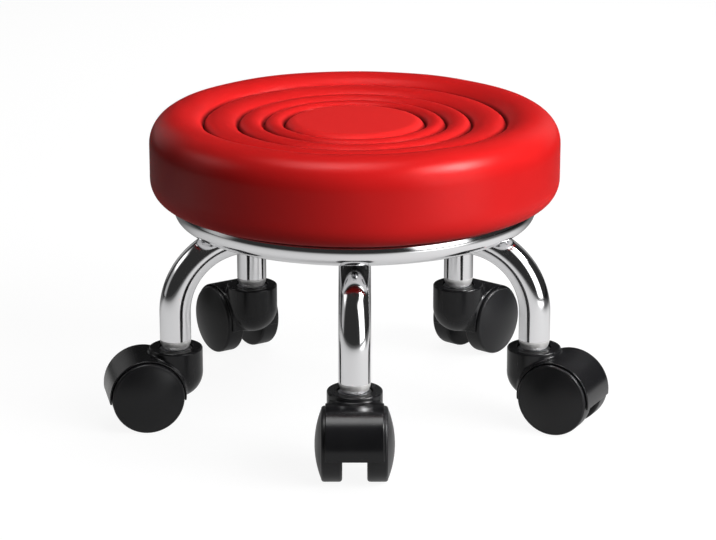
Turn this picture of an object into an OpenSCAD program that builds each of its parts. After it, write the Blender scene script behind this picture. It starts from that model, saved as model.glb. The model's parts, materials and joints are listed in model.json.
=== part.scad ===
// Low rolling stool: a round padded seat on a chromed ring, five bent tube legs
// and five twin-wheel casters. Millimetres, +Z up, origin on the floor under the
// middle of the seat. The front leg points along -Y.

/* [Cushion] */
// Diameter of the cushion
seat_d = 290; // [270:1:320]
// Height of the cushion, from its lowest edge to the top of the rim roll
seat_h = 60.3; // [52:0.1:80]
// Depth of the middle of the seat below the top of the rim roll
seat_dish = 6; // [5:0.2:8]
// Drop of the rim roll from its crest to the outermost channel
rim_drop = 3.2; // [2:0.2:4.4]
// Radius of the cushion's upper corner
top_corner_r = 21; // [16:0.5:24]
// Reach inwards of the cushion's lower corner
low_corner_reach = 12.2; // [9:0.2:15]
// Height of the cushion's lower corner
low_corner_h = 15.2; // [10:0.2:18]
// Depth that the cushion's edge hangs below the strip that rests on the ring
edge_sag = 3; // [1:0.2:4]
// Radius of the innermost pressed channel
channel_1_r = 49.8; // [46:0.2:53]
// Radius of the second pressed channel
channel_2_r = 64.3; // [62:0.2:67]
// Radius of the third pressed channel
channel_3_r = 82.4; // [79:0.2:87]
// Radius of the outermost pressed channel
channel_4_r = 106.6; // [100:0.2:110]
// Width of each pressed channel between its rounded shoulders
channel_w = 7; // [5:0.2:8]
// Depth of each pressed channel
channel_depth = 3.8; // [2.4:0.2:5]
// Thickness of the vinyl cover
cover_t = 1.2; // [0.8:0.1:1.6]

/* [Seat board] */
// Thickness of the plywood board
board_t = 12; // [10:0.5:15]
// Distance of the board's edge inside the lowest edge of the cushion
board_inset = 1.8; // [1:0.2:4]
// Width of the flat strip of cover that is turned under the board
turn_under = 12.5; // [11.5:0.5:13.5]
// Thickness of the dust cloth under the board
cloth_t = 0.3; // [0.2:0.1:0.8]
// Distance of the dust cloth's edge inside the outer edge of that strip
cloth_inset = 2.2; // [1:0.2:3.4]
// Number of staples that hold the cover and the cloth under the board
staple_count = 24; // [16:1:30]
// Width of a staple's crown
staple_w = 10; // [8:0.5:12]
// Thickness of the staple wire
staple_wire = 1; // [0.8:0.1:1.2]
// Length of a staple's points
staple_h = 8; // [6:0.5:9]
// Radius of the circle of seat bolts
bolt_circle_r = 78; // [70:1:90]
// Thread diameter of the seat bolts
bolt_d = 6; // [5:0.5:7]
// Length of a seat bolt under its head
bolt_h = 16; // [14:0.5:17]

/* [Frame] */
// Radius of the circle of leg feet, which is also the circle of swivel axes
leg_circle_r = 133.1; // [126:0.1:145]
// Outside diameter of the leg tube
tube_d = 22; // [20:0.1:24]
// Wall of the leg tube
tube_wall = 1.5; // [1.2:0.1:2]
// Height of the centre line of a leg's level run above the floor
run_z = 131.1; // [128:0.1:150]
// Centre line radius of a leg's bend
bend_r = 50; // [44:0.5:52]
// Outside diameter of the hub that joins the legs
hub_d = 64; // [58:1:74]
// Wall of the hub
hub_wall = 4; // [3:0.5:6]
// Distance that the hub stands below the leg tubes
hub_skirt = 3; // [2:0.5:6]
// Distance of the chromed ring's centre line inside the cushion's side
ring_inset = 26.5; // [24:0.1:28]
// Outside diameter of the ring's tube
ring_tube_d = 20; // [18:0.1:21]
// Wall of the ring's tube
ring_wall = 1.2; // [1:0.1:1.6]
// Height of the ring's centre line above the legs' level runs
ring_rise = 18; // [17.5:0.1:22]
// Thickness of the steel seat plate
plate_t = 4; // [3:0.5:5]

/* [Caster stem] */
// Diameter of the caster stem
stem_d = 11; // [10:0.1:12]
// Length of the stem above the caster's cup
stem_rise = 23; // [21:0.5:24]
// Depth of the stem inside the caster body
stem_depth = 20; // [18:0.5:22]
// Length of the socket inside the leg tube
socket_h = 18; // [16:0.5:18.5]
// Height of the socket's domed collar below the tube
collar_h = 7.2; // [6:0.2:8]
// Width of the collar's flat foot round the stem
collar_flat = 1.2; // [0.8:0.1:2]
// Radius of the bright washer under the collar
washer_r = 11.4; // [10:0.1:11.6]
// Thickness of the bright washer
washer_t = 0.8; // [0.6:0.1:1.2]
// Thickness of the stem's grip ring and retaining clip
clip_t = 1.2; // [0.8:0.1:1.5]

/* [Caster body] */
// Diameter of the cup round the foot of a leg
cup_d = 38; // [35:0.5:41]
// Height of the cup's top above the wheel axle
cup_rise = 30.6; // [29:0.1:34]
// Distance of the axle behind the swivel axis
trail = 22.5; // [20:0.5:26]
// Width of the hood over the wheels
hood_w = 39.6; // [36:0.2:42]
// Wall of the hood
hood_wall = 1.2; // [1:0.1:1.6]
// Radius of the recess in the cup's top
recess_r = 12.2; // [11.8:0.1:13]
// Depth of the recess in the cup's top
recess_h = 2.2; // [1.6:0.1:2.6]
// Rounding of the cup's top edge
cup_edge = 1.4; // [0.8:0.1:2]
// Rounding of the hood's side edges
hood_edge = 0.8; // [0.4:0.1:1]
// Depth of the hood's straight lip below the axle
lip_drop = 3.5; // [2:0.5:6]
// Radius of the boss round the axle
boss_r = 8; // [6:0.5:10]

/* [Wheel] */
// Diameter of a wheel
wheel_d = 51; // [48:0.5:54]
// Gap between the two wheels of a caster
wheel_gap = 16.8; // [16:0.2:19]
// Width over the treads of both wheels
tread_span = 45; // [43:0.5:48]
// Bulge of a wheel's domed face
wheel_dome = 4.5; // [2.5:0.1:6]
// Radius of a wheel's rounded edges
wheel_edge_r = 2; // [1.2:0.1:3]
// Diameter of the axle
axle_d = 6; // [5:0.1:7]

/* [Casters as photographed] */
// Turn of the front caster from straight out
front_turn = 0; // [-180:0.5:180]
// Turn of the right caster from straight out
right_turn = -8.5; // [-180:0.5:180]
// Turn of the rear right caster from straight out
rear_right_turn = -3.5; // [-180:0.5:180]
// Turn of the rear left caster from straight out
rear_left_turn = -2.5; // [-180:0.5:180]
// Turn of the left caster from straight out
left_turn = -6.5; // [-180:0.5:180]

/* [Fits] */
// Radial running clearance of the stems and axles
run_fit = 0.05; // [0.02:0.01:0.1]
// Clearance of fixed fits and welded seams
snug_fit = 0.02; // [0.01:0.01:0.04]
// End play between a caster body and what holds it
swivel_play = 0.1; // [0.1:0.05:0.2]
// Clearance between a wheel and the caster body
wheel_clear = 0.5; // [0.4:0.1:0.8]
// Clearance between the staples and the ring
staple_clear = 0.3; // [0.2:0.1:0.5]

/* [Hidden] */
$fn = 96;

// Five legs stand evenly round the seat, counted anticlockwise from the front.
leg_count = 5;
leg_step = 360 / leg_count;
front_azimuth = -90;
turns = [front_turn, right_turn, rear_right_turn, rear_left_turn, left_turn];

// Heights, from the floor up
axle_z = wheel_d / 2;
cup_top_z = axle_z + cup_rise;
recess_z = cup_top_z - recess_h;
washer_z = recess_z + swivel_play;
collar_z = washer_z + washer_t;
foot_z = collar_z + collar_h;
bend_z = run_z - bend_r;
ring_z = run_z + ring_rise;
cloth_z = ring_z + ring_tube_d / 2 + snug_fit;
seat_z = cloth_z + cloth_t;
board_z = seat_z + cover_t;
board_top_z = board_z + board_t;
plate_z = board_z - cloth_t - plate_t;
hub_z = run_z - tube_d / 2 - hub_skirt;
edge_z = seat_z - edge_sag;
seat_top_z = edge_z + seat_h;

// Cushion
seat_r = seat_d / 2;
crest_r = seat_r - top_corner_r;
flat_r = channel_1_r - channel_w / 2;
under_r = seat_r - low_corner_reach;
board_r = under_r - board_inset;
ring_r = seat_r - ring_inset;
strip_r = ring_r + ring_tube_d / 2;
turn_in_r = strip_r - turn_under;
cloth_r = strip_r - cloth_inset;
corner_step = 10;
shoulder_step = 15;
shoulder_end = 60;
crown_steps = 6;

// The staples stand just outside the ring's tube, where it has dropped clear of
// their crowns.
ring_tube_r = ring_tube_d / 2;
staple_reach = sqrt(pow(ring_tube_r, 2) - pow(ring_tube_r - staple_wire - staple_clear, 2));
staple_r = ring_r + staple_reach + staple_wire / 2;

// Fasteners
bolt_head_w = bolt_d * 5 / 3;
bolt_head_h = bolt_d * 2 / 3;
bolt_washer_d = bolt_d * 2;
bolt_washer_t = bolt_d / 5;
tee_flange_d = bolt_d * 3;
tee_flange_t = bolt_d / 5;
tee_barrel_d = bolt_d * 4 / 3;
tee_barrel_h = board_t * 3 / 4;

// The plate's edge meets the ring's tube where the plate's lower face lies.
plate_rise = plate_z - ring_z;
plate_r = ring_r - sqrt(pow(ring_tube_r, 2) - pow(plate_rise, 2)) - snug_fit;

// Caster
cup_r = cup_d / 2;
web_w = wheel_gap - 2 * wheel_clear;
hood_in_r = wheel_d / 2 + wheel_clear;
hood_out_r = hood_in_r + hood_wall;
dome_z = axle_z + cup_r * 2 / 3;
stem_end_z = cup_top_z - stem_depth;
clip_r = stem_d / 2 + clip_t;
clip_groove_r = stem_d / 2 - clip_t;
clip_z = stem_end_z + 2 * clip_t;
clip_well_r = clip_r + swivel_play;
grip_z = cup_top_z + stem_rise - 3 * clip_t;
stem_top_z = cup_top_z + stem_rise;
axle_half = tread_span / 2 - wheel_edge_r;
edge_steps = 4;
dome_steps = 8;

// What a cut reaches past the face that it opens
cut = 1;

// Height of the cushion's top without its channels: a flat middle, a shallow
// dish and then the rim roll.
function top_z(r) =
    let(inner = (r - flat_r) / (channel_4_r - flat_r), outer = (crest_r - r) / (crest_r - channel_4_r))
    r <= flat_r ? seat_top_z - seat_dish
    : r <= channel_4_r ? seat_top_z - seat_dish + (seat_dish - rim_drop) * inner * inner
    : seat_top_z - rim_drop * outer * outer;

// One side of a channel: a rounded shoulder that falls to the crease.
function shoulder(r, side, angles, inset) = [
    for (a = angles)
        let(x = r + side * channel_w / 2 * (1 - sin(a) / sin(shoulder_end)))
        [x, top_z(x) - channel_depth * (1 - cos(a)) / (1 - cos(shoulder_end)) - inset]
];

// A channel from its inner shoulder to its outer one
function channel(r, inset) = concat(
    shoulder(r, -1, [0:shoulder_step:shoulder_end], inset),
    shoulder(r, 1, [shoulder_end - shoulder_step:-shoulder_step:0], inset)
);

// The crowned stretch between a channel and the radius where the next begins
function crown(r_from, r_to, inset) = [
    for (i = [1:crown_steps - 1])
        let(x = r_from + (r_to - r_from) * i / crown_steps)
        [x, top_z(x) - inset]
];

// Outline of the cushion, from the middle of its top to the flat strip of its
// underside, drawn inset millimetres inside the outer face. The lowest edge
// hangs beside the ring, a little below the strip that rests on it.
function cushion_line(inset) = concat(
    [[0, top_z(0) - inset]],
    channel(channel_1_r, inset),
    channel(channel_2_r, inset),
    crown(channel_2_r + channel_w / 2, channel_3_r - channel_w / 2, inset),
    channel(channel_3_r, inset),
    crown(channel_3_r + channel_w / 2, channel_4_r - channel_w / 2, inset),
    channel(channel_4_r, inset),
    crown(channel_4_r + channel_w / 2, crest_r, inset),
    [
        for (a = [90:-corner_step:0])
            [crest_r + (top_corner_r - inset) * cos(a),
             seat_top_z - top_corner_r + (top_corner_r - inset) * sin(a)]
    ],
    [
        for (a = [0:-corner_step:-90])
            [under_r + (low_corner_reach - inset) * cos(a),
             edge_z + low_corner_h + (low_corner_h - inset) * sin(a)]
    ],
    [[strip_r, seat_z + inset]]
);

function reversed(list) = [for (i = [len(list) - 1:-1:0]) list[i]];

// Round edge of radius r about a point, from one angle to another
function edge_arc(x, y, r, from, to) = [
    for (i = [0:edge_steps])
        let(a = from + (to - from) * i / edge_steps)
        [x + r * cos(a), y + r * sin(a)]
];

module at_leg(i) {
    rotate([0, 0, front_azimuth + i * leg_step]) translate([leg_circle_r, 0, 0]) children();
}

module at_caster(i) {
    at_leg(i) rotate([0, 0, turns[i]]) children();
}

module at_bolts() {
    for (i = [0:leg_count - 1])
        rotate([0, 0, front_azimuth + (i + 0.5) * leg_step]) translate([bolt_circle_r, 0, 0]) children();
}

module at_staples() {
    for (i = [0:staple_count - 1])
        rotate([0, 0, i * 360 / staple_count]) translate([staple_r, 0, 0]) children();
}

// Seat

module seat_cover() {
    color("crimson") difference() {
        rotate_extrude() polygon(concat(
            cushion_line(0),
            [[turn_in_r, seat_z], [turn_in_r, board_z]],
            reversed(cushion_line(cover_t))
        ));
        at_staples() staple_holes();
    }
}

module seat_foam() {
    color("khaki") rotate_extrude() polygon(concat(
        cushion_line(cover_t),
        [[board_r, board_z], [board_r, board_top_z], [0, board_top_z]]
    ));
}

module seat_board() {
    color("burlywood") difference() {
        translate([0, 0, board_z]) cylinder(r = board_r, h = board_t);
        at_bolts() tee_nut_well();
        at_staples() staple_holes();
    }
}

// Dust cloth: flat between the board and the plate, then stepped down under the
// cover's turned-under strip
module dust_cloth() {
    lap_r = turn_in_r - snug_fit;
    color("#181818") difference() {
        rotate_extrude() polygon([
            [0, board_z - cloth_t], [lap_r - cloth_t, board_z - cloth_t],
            [lap_r - cloth_t, cloth_z], [cloth_r, cloth_z], [cloth_r, seat_z],
            [lap_r, seat_z], [lap_r, board_z], [0, board_z]
        ]);
        bolt_holes(board_z - cloth_t, cloth_t);
        at_staples() staple_holes();
    }
}

// The two points of a staple, as square bars between two heights
module staple_points(thick, z_from, z_to) {
    for (side = [-1, 1])
        translate([-thick / 2, side * (staple_w - staple_wire) / 2 - thick / 2, z_from])
            cube([thick, thick, z_to - z_from]);
}

module staple_holes() {
    staple_points(staple_wire + 2 * snug_fit, cloth_z - cut, cloth_z + staple_h + snug_fit);
}

module staple() {
    translate([-staple_wire / 2, -staple_w / 2, cloth_z - staple_wire])
        cube([staple_wire, staple_w, staple_wire]);
    staple_points(staple_wire, cloth_z - staple_wire, cloth_z + staple_h);
}

module cover_staples() {
    color("silver") at_staples() staple();
}

module tee_nut_well() {
    translate([0, 0, board_top_z - tee_flange_t])
        cylinder(d = tee_flange_d + 2 * snug_fit, h = tee_flange_t + cut);
    translate([0, 0, board_z - cut])
        cylinder(d = tee_barrel_d + 2 * snug_fit, h = board_t + cut);
}

module tee_nuts() {
    color("silver") at_bolts() difference() {
        union() {
            translate([0, 0, board_top_z - tee_flange_t]) cylinder(d = tee_flange_d, h = tee_flange_t);
            translate([0, 0, board_top_z - tee_barrel_h]) cylinder(d = tee_barrel_d, h = tee_barrel_h);
        }
        translate([0, 0, board_z]) cylinder(d = bolt_d + 2 * snug_fit, h = board_t + cut);
    }
}

module seat_bolts() {
    color("dimgray") at_bolts() {
        translate([0, 0, plate_z - bolt_washer_t]) {
            cylinder(d = bolt_d, h = bolt_h);
            cylinder(d = bolt_washer_d, h = bolt_washer_t);
            translate([0, 0, -bolt_head_h]) cylinder(d = bolt_head_w / cos(30), h = bolt_head_h, $fn = 6);
        }
    }
}

// Frame

// Loose holes for the seat bolts, through a sheet of thickness t that starts at z
module bolt_holes(z, t) {
    at_bolts() translate([0, 0, z - cut]) cylinder(d = bolt_d + 4 * run_fit, h = t + 2 * cut);
}

module seat_plate() {
    color("#181818") difference() {
        translate([0, 0, plate_z]) cylinder(r = plate_r, h = plate_t);
        bolt_holes(plate_z, plate_t);
    }
}

module chrome_ring() {
    color("lightgray") translate([0, 0, ring_z]) rotate_extrude() translate([ring_r, 0]) difference() {
        circle(d = ring_tube_d);
        circle(d = ring_tube_d - 2 * ring_wall);
    }
}

module leg_hub() {
    color("gainsboro") difference() {
        translate([0, 0, hub_z]) cylinder(d = hub_d, h = plate_z - hub_z);
        translate([0, 0, hub_z - cut]) cylinder(d = hub_d - 2 * hub_wall, h = plate_z - hub_z + 2 * cut);
    }
}

// A bar of diameter d along a leg's centre line, from the height z_from to the
// middle of the stool
module leg_bar(d, z_from) {
    translate([0, 0, z_from]) cylinder(d = d, h = bend_z - z_from);
    translate([-bend_r, 0, bend_z]) rotate([90, 0, 0])
        rotate_extrude(angle = 90) translate([bend_r, 0]) circle(d = d);
    translate([-leg_circle_r, 0, run_z]) rotate([0, 90, 0]) cylinder(d = d, h = leg_circle_r - bend_r);
}

module leg(i) {
    color("lightgray") at_leg(i) difference() {
        leg_bar(tube_d, foot_z);
        leg_bar(tube_d - 2 * tube_wall, foot_z - cut);
        translate([-leg_circle_r, 0, hub_z - cut])
            cylinder(r = hub_d / 2 + snug_fit, h = plate_z - hub_z + 2 * cut);
    }
}

// The socket is a plug in the tube with a domed collar that carries the tube's end.
module socket(i) {
    plug_r = tube_d / 2 - tube_wall - snug_fit;
    collar_foot_r = stem_d / 2 + snug_fit + collar_flat;
    reach = tube_d / 2 - collar_foot_r;
    color("silver") at_leg(i) rotate_extrude() polygon(concat(
        [[stem_d / 2 + snug_fit, collar_z]],
        [
            for (a = [-90:shoulder_step:0])
                [collar_foot_r + reach * cos(a), foot_z + collar_h * sin(a)]
        ],
        [[plug_r, foot_z], [plug_r, foot_z + socket_h], [stem_d / 2 + snug_fit, foot_z + socket_h]]
    ));
}

// Stem: a plain pin with one groove for the grip ring and one for the clip
module stem(i) {
    color("silver") at_leg(i) difference() {
        translate([0, 0, stem_end_z]) cylinder(d = stem_d, h = stem_top_z - stem_end_z);
        stem_groove(grip_z);
        stem_groove(clip_z);
    }
}

module stem_groove(z) {
    translate([0, 0, z - snug_fit]) difference() {
        cylinder(r = stem_d / 2 + cut, h = clip_t + 2 * snug_fit);
        translate([0, 0, -cut]) cylinder(r = clip_groove_r, h = clip_t + 2 * cut);
    }
}

module stem_washers() {
    color("white") for (i = [0:leg_count - 1]) at_leg(i) difference() {
        translate([0, 0, washer_z]) cylinder(r = washer_r, h = washer_t);
        translate([0, 0, washer_z - cut]) cylinder(r = stem_d / 2 + run_fit, h = washer_t + 2 * cut);
    }
}

// A sprung ring with a slot, seated in a stem groove
module split_ring(z, outer_r) {
    difference() {
        translate([0, 0, z]) cylinder(r = outer_r, h = clip_t);
        translate([0, 0, z - cut]) cylinder(r = clip_groove_r + snug_fit, h = clip_t + 2 * cut);
        translate([0, -clip_t, z - cut]) cube([outer_r + cut, 2 * clip_t, clip_t + 2 * cut]);
    }
}

module grip_rings() {
    color("dimgray") for (i = [0:leg_count - 1]) at_leg(i) split_ring(grip_z, stem_d / 2 + snug_fit / 2);
}

module stem_clips() {
    color("dimgray") for (i = [0:leg_count - 1]) at_leg(i) split_ring(clip_z, clip_r);
}

// Casters: in a caster's own frame the swivel axis is Z and the wheels trail along +X.

module across(x, z, r, w) {
    translate([x, w / 2, z]) rotate([90, 0, 0]) cylinder(r = r, h = w);
}

// Half section of a drum of radius r, from height 0 to h, with its top edge rounded
module drum_section(r, h, edge) {
    square([r, h - edge]);
    square([r - edge, h]);
    translate([r - edge, h - edge]) circle(r = edge);
}

// Cup round the foot of the leg: a drum whose underside is a half ball. The leg's
// collar and washer stand in a recess in its top.
module cup() {
    translate([0, 0, dome_z]) rotate_extrude() {
        drum_section(cup_r, cup_top_z - dome_z, cup_edge);
        intersection() {
            circle(r = cup_r);
            translate([0, -cup_r]) square(cup_r);
        }
    }
}

// Hood: a drum round the axle, cut off straight below it
module hood() {
    difference() {
        translate([trail, 0, axle_z]) for (side = [-90, 90]) rotate([side, 0, 0])
            rotate_extrude() drum_section(hood_out_r, hood_w / 2, hood_edge);
        translate([trail - hood_out_r - cut, -hood_w, axle_z - lip_drop - wheel_d])
            cube([2 * hood_out_r + 2 * cut, 2 * hood_w, wheel_d]);
    }
}

module caster(i) {
    color("#202020") at_caster(i) difference() {
        union() {
            cup();
            hood();
            across(trail, axle_z, boss_r, web_w);
        }
        for (side = [-1, 1])
            translate([0, side * (web_w / 2 + wheel_d / 2), 0]) across(trail, axle_z, hood_in_r, wheel_d);
        across(trail, axle_z, axle_d / 2 + snug_fit, web_w + 2 * cut);
        translate([0, 0, stem_end_z]) cylinder(r = stem_d / 2 + run_fit, h = cup_top_z - stem_end_z + cut);
        translate([0, 0, recess_z]) cylinder(r = recess_r, h = recess_h + cut);
        cylinder(r = clip_well_r, h = clip_z + clip_t + swivel_play);
    }
}

module axle(i) {
    color("silver") at_caster(i) across(trail, axle_z, axle_d / 2, 2 * axle_half);
}

// Section of a wheel, as distance from the axle's line and distance along it
function wheel_section() =
    let(
        rim_r = wheel_d / 2,
        inner = wheel_gap / 2,
        outer = tread_span / 2,
        e = wheel_edge_r,
        dome_r = (pow(rim_r - e, 2) + pow(wheel_dome, 2)) / (2 * wheel_dome),
        bore = axle_d / 2 + run_fit
    )
    concat(
        [[bore, inner], [rim_r - e, inner]],
        edge_arc(rim_r - e, inner + e, e, -90, 0),
        edge_arc(rim_r - e, outer - e, e, 0, 90),
        [
            for (k = [dome_steps - 1:-1:0])
                let(r = (rim_r - e) * k / dome_steps)
                [r, outer + wheel_dome - dome_r + sqrt(pow(dome_r, 2) - pow(r, 2))]
        ],
        [[0, axle_half + run_fit], [bore, axle_half + run_fit]]
    );

module wheel(i, side) {
    color("#2a2a2a") at_caster(i) translate([trail, 0, axle_z]) rotate([side * 90, 0, 0])
        rotate_extrude() polygon(wheel_section());
}

seat_cover();
seat_foam();
seat_board();
dust_cloth();
cover_staples();
tee_nuts();
seat_bolts();
seat_plate();
chrome_ring();
leg_hub();
leg(0);  // leg_front
leg(1);  // leg_right
leg(2);  // leg_rear_right
leg(3);  // leg_rear_left
leg(4);  // leg_left
socket(0);  // socket_front
socket(1);  // socket_right
socket(2);  // socket_rear_right
socket(3);  // socket_rear_left
socket(4);  // socket_left
stem(0);  // stem_front
stem(1);  // stem_right
stem(2);  // stem_rear_right
stem(3);  // stem_rear_left
stem(4);  // stem_left
stem_washers();
grip_rings();
stem_clips();
caster(0);  // caster_front
caster(1);  // caster_right
caster(2);  // caster_rear_right
caster(3);  // caster_rear_left
caster(4);  // caster_left
axle(0);  // axle_front
axle(1);  // axle_right
axle(2);  // axle_rear_right
axle(3);  // axle_rear_left
axle(4);  // axle_left
wheel(0, 1);  // wheel_front_a
wheel(1, 1);  // wheel_right_a
wheel(2, 1);  // wheel_rear_right_a
wheel(3, 1);  // wheel_rear_left_a
wheel(4, 1);  // wheel_left_a
wheel(0, -1);  // wheel_front_b
wheel(1, -1);  // wheel_right_b
wheel(2, -1);  // wheel_rear_right_b
wheel(3, -1);  // wheel_rear_left_b
wheel(4, -1);  // wheel_left_b
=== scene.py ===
# %% [markdown]
# A low rolling stool, dressed in Blender.
# The stool has a red padded seat on a chromed ring, five bent chromed legs and a black
# twin-wheel caster under each leg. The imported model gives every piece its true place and
# size. This script gives the pieces their true surfaces: soft vinyl, mirror chrome,
# moulded plastic, bright zinc and plywood.
# It works through the stool from the camera and the light to the seat, the frame and the
# casters. Each step says what the piece is on the real stool and why it is made that way.

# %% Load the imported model
import json
import math

import bpy
import numpy as np
from mathutils import Matrix, Vector


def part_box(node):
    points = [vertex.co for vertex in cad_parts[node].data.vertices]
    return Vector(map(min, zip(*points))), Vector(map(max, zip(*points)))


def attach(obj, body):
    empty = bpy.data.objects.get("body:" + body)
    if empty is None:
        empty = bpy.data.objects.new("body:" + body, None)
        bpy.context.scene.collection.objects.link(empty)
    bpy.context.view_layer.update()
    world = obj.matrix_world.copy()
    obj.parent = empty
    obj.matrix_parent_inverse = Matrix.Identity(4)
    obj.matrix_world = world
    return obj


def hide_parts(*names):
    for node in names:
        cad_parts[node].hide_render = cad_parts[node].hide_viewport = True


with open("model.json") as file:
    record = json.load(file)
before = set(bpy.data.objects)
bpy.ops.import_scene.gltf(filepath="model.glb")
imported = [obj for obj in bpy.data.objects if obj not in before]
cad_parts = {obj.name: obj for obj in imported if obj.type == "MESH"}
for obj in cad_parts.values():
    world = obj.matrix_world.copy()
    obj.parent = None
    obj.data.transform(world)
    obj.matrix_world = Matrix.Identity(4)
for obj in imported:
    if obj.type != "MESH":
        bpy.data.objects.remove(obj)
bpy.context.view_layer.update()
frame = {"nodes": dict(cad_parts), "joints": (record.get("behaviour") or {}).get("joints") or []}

MM = 0.001

# %% [markdown]
# The real stool was photographed with a long lens, from a little above the seat.
# A camera is placed by three things: where it stands, how far it looks down, and how
# narrow its view is. A long lens far away keeps the legs nearly parallel, while a short
# lens near by would spread them. The values below came from the ellipses of the seat
# and the places of the wheels in the photograph.

# %% Camera
CAMERA_PLACE = (2.2 * MM, -1892.8 * MM, 677 * MM)
CAMERA_LOOKS_DOWN = 16.96
LENS_MM = 138.9
SENSOR_MM = 36

camera = bpy.data.objects.new("camera", bpy.data.cameras.new("camera"))
camera.data.lens = LENS_MM
camera.data.sensor_width = SENSOR_MM
camera.location = CAMERA_PLACE
camera.rotation_euler = (math.radians(90 - CAMERA_LOOKS_DOWN), 0, 0)
bpy.context.scene.collection.objects.link(camera)
bpy.context.scene.camera = camera
print("camera at", [round(v, 3) for v in camera.location])

# %% [markdown]
# Node trees are easier to read as Python than as boxes and wires.
# A small class wraps a node's output socket and overloads the arithmetic operators, so
# that an expression such as 1 - mask * 0.5 adds the Math nodes by itself. A second class
# holds a tree and has one method that makes any node in it. A third holds one finish:
# a material, its shader and the nodes that vary it.

# %% Node helpers
class Value:
    """A number that varies over a surface, taken from one node socket."""

    def __init__(self, owner, socket):
        self.owner = owner
        self.socket = socket

    def math(self, operation, *others):
        return self.owner.node("ShaderNodeMath", [self, *others], {"operation": operation})

    def __add__(self, other):
        return self.math("ADD", other)

    def __sub__(self, other):
        return self.math("SUBTRACT", other)

    def __mul__(self, other):
        return self.math("MULTIPLY", other)

    def __rsub__(self, other):
        return self.owner.node("ShaderNodeMath", [other, self], {"operation": "SUBTRACT"})

    __radd__ = __add__
    __rmul__ = __mul__

    def clipped(self, low, high):
        """0 below low, 1 above high, and smooth in between."""
        return self.owner.node(
            "ShaderNodeMapRange",
            {"Value": self, "From Min": low, "From Max": high},
            {"interpolation_type": "SMOOTHSTEP"},
        )


class Tree:
    """A node tree, with one method that makes any node in it."""

    def __init__(self, tree):
        self.tree = tree

    def node(self, kind, inputs=(), settings=None, output=0):
        """Makes a node, sets it up, fills its sockets, and wraps one output."""
        made = self.tree.nodes.new(kind)
        for key, value in (settings or {}).items():
            setattr(made, key, value)
        pairs = inputs.items() if isinstance(inputs, dict) else enumerate(inputs)
        for key, value in pairs:
            self.link(made.inputs[key], value)
        return Value(self, made.outputs[output])

    def link(self, socket, value):
        if isinstance(value, Value):
            self.tree.links.new(value.socket, socket)
        else:
            socket.default_value = value

    def axes(self, vector):
        """The X, Y and Z parts of a vector."""
        split = self.tree.nodes.new("ShaderNodeSeparateXYZ")
        self.link(split.inputs[0], vector)
        return [Value(self, split.outputs[axis]) for axis in "XYZ"]

    def mix(self, share, low, high):
        """A colour that goes from low to high as share goes from 0 to 1."""
        node = self.tree.nodes.new("ShaderNodeMix")
        node.data_type = "RGBA"
        for socket, value in zip((node.inputs[0], node.inputs[6], node.inputs[7]), (share, low, high)):
            self.link(socket, value)
        return Value(self, node.outputs[2])

    def seen_by(self, *kinds):
        """1 for rays of these kinds, such as Is Camera Ray, and 0 for all others."""
        return sum(self.node("ShaderNodeLightPath", output=kind) for kind in kinds)

    def blend(self, share, low, high):
        """One shader that goes from low to high as share goes from 0 to 1."""
        return self.node("ShaderNodeMixShader", [share, low, high])


class Finish(Tree):
    """One material: a Principled shader and the nodes that vary it."""

    def __init__(self, name, **shader):
        self.material = bpy.data.materials.new(name)
        self.material.use_nodes = True
        super().__init__(self.material.node_tree)
        self.shader = self.tree.nodes["Principled BSDF"]
        for socket, value in shader.items():
            self.shader.inputs[socket.replace("_", " ").title().replace("Ior", "IOR")].default_value = value

    def set(self, socket, value):
        self.link(self.shader.inputs[socket], value)

    def place(self):
        return self.node("ShaderNodeTexCoord", output="Object")

    def noise(self, place, scale, detail=2.0, rough=0.5):
        return self.node(
            "ShaderNodeTexNoise",
            {"Vector": place, "Scale": scale, "Detail": detail, "Roughness": rough},
            output="Fac",
        )

    def bump(self, height, distance, strength):
        """A relief of that real depth, in metres, from a height between 0 and 1."""
        inputs = {"Strength": strength, "Distance": distance, "Height": height}
        return self.node("ShaderNodeBump", inputs, output="Normal")


def linear(r, g, b):
    """A screen colour of 0 to 255, as the linear colour that a shader takes."""
    def one(v):
        v /= 255
        return v / 12.92 if v <= 0.04045 else ((v + 0.055) / 1.055) ** 2.4
    return (one(r), one(g), one(b), 1)


print("node helpers ready")

# %% [markdown]
# Chrome is a mirror, so the room is half of its look. The reflections in the photographed
# tubes show what stood round the stool: a large soft window to the right and in front,
# smaller ones on the left and overhead, pale walls behind, and darkness round the camera.
# Each is a soft rectangle of directions in the world's shader. Only glossy rays see this
# room. The camera sees plain white, and all other rays see a weak even fill.

# %% Room for reflections
ROOM_DARK = 0.03
FILL = 0.072
WINDOWS = {
    "right_window": dict(azimuth=56, height=22, half_wide=17, half_tall=28, edge=5, bright=3.0),
    "left_window": dict(azimuth=-100, height=33, half_wide=12, half_tall=9, edge=5, bright=1.6),
    "left_wall": dict(azimuth=-96, height=12, half_wide=10, half_tall=28, edge=8, bright=0.45),
    "wall_behind_left": dict(azimuth=-147, height=6, half_wide=12, half_tall=20, edge=8, bright=0.35),
    "wall_behind_right": dict(azimuth=152, height=8, half_wide=10, half_tall=20, edge=8, bright=0.3),
    "ceiling_window": dict(azimuth=77, height=48, half_wide=6, half_tall=7, edge=5, bright=80.0),
    "ceiling": dict(azimuth=-90, height=84, half_wide=12, half_tall=12, edge=8, bright=8.5),
}


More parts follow.
